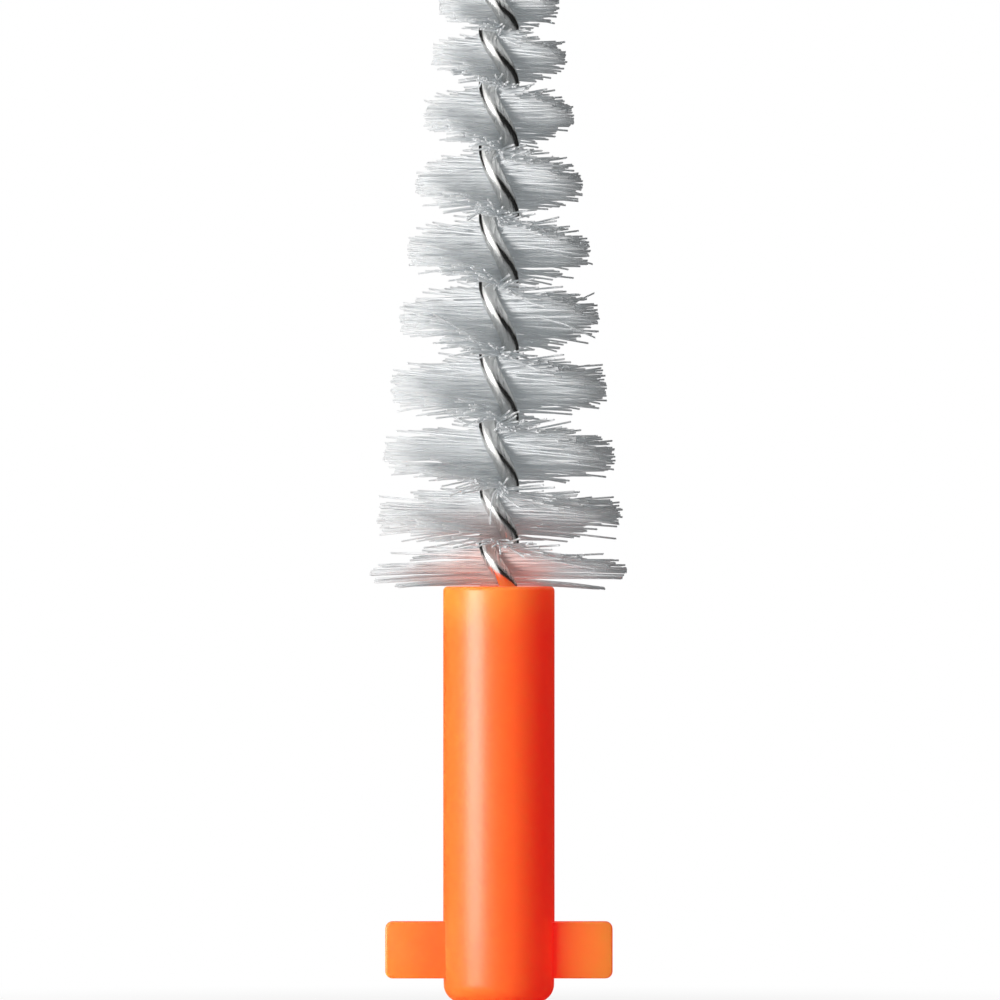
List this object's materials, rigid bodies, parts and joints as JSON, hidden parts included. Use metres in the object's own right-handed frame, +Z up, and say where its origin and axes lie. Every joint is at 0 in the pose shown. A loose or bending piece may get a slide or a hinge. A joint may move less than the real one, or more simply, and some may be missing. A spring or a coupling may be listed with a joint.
{
  "type": "interdental brush refill",
  "caption": "Interdental brush refill: conical nylon bristles pinched in a twisted wire stem, moulded into a round plug with two side lugs for a handle.",
  "frame": {"origin": "centre of the plug's foot, on the brush's axis", "axes": "+Z up the brush's axis, from the foot to the tip of the brush; the plug's two lugs stand out along -X and +X; the picture looks along +Y"},
  "size_m": [0.0057, 0.0055, 0.0259],
  "materials": {
    "plug_plastic": "smooth moulded orange, slightly translucent",
    "stem_steel": "bright drawn stainless wire",
    "bristle_nylon": "fine white nylon filament"
  },
  "bodies": {
    "root": {"plug": "plug_plastic", "stem_wire": "stem_steel", "bristle_row_01": "bristle_nylon", "bristle_row_02": "bristle_nylon", "bristle_row_03": "bristle_nylon", "bristle_row_04": "bristle_nylon", "bristle_row_05": "bristle_nylon", "bristle_row_06": "bristle_nylon", "bristle_row_07": "bristle_nylon", "bristle_row_08": "bristle_nylon", "bristle_row_09": "bristle_nylon", "bristle_row_10": "bristle_nylon", "bristle_row_11": "bristle_nylon", "bristle_row_12": "bristle_nylon", "bristle_row_13": "bristle_nylon"}
  },
  "joints": []
}
